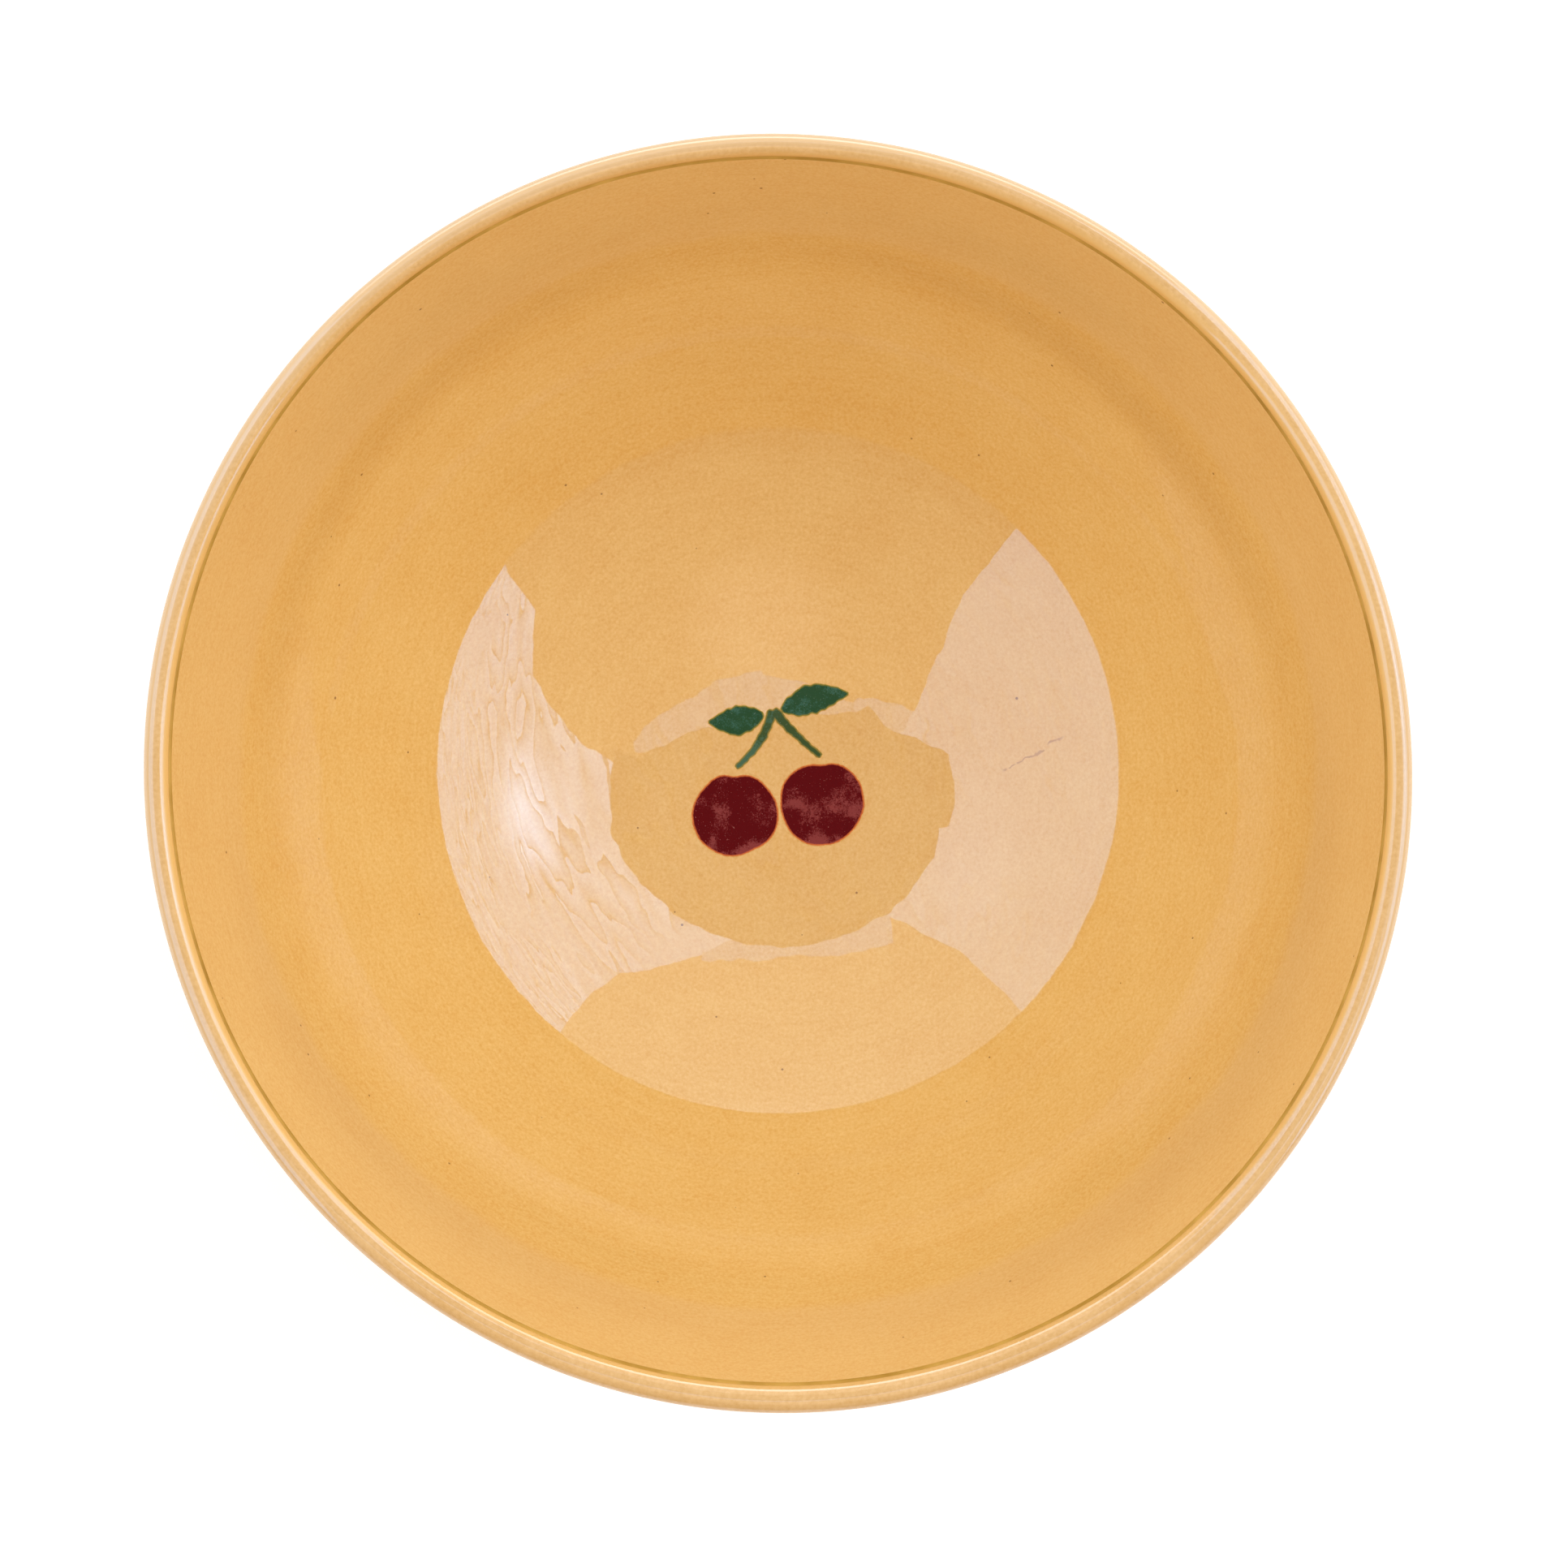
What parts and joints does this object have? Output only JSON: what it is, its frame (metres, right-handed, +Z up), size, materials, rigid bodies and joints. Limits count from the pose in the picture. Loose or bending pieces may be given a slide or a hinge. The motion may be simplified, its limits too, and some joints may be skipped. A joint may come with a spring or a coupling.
{
  "type": "serving bowl",
  "caption": "Deep round glazed stoneware bowl with a rolled lip, a turned foot and a pair of painted cherries inside.",
  "frame": {"origin": "middle of the foot, on the surface the bowl stands on", "axes": "+Z up along the axis the bowl was turned about; the painting's stalks point to +Y and +X is to its right"},
  "size_m": [0.26, 0.26, 0.1174],
  "materials": {
    "bare_clay": "unglazed fired stoneware, fine matt grain",
    "honey_glaze": "glossy honey-coloured glaze with a fine mottle",
    "pale_glaze": "glossy honey glaze, thinner and paler over the lip",
    "dark_glaze": "glossy pooled glaze, olive brown",
    "oxblood_paint": "sponged oxblood red painting under gloss",
    "leaf_paint": "brushed dark green painting under gloss",
    "stalk_paint": "brushed olive green painting under gloss"
  },
  "bodies": {
    "root": {"clay_body": "bare_clay", "foot_ring": "bare_clay", "interior_glaze": "honey_glaze", "rim_line": "dark_glaze", "rim_glaze": "pale_glaze", "exterior_glaze": "honey_glaze", "base_glaze": "honey_glaze", "painted_cherries": "oxblood_paint", "painted_leaves": "leaf_paint", "painted_stalks": "stalk_paint"}
  },
  "joints": []
}
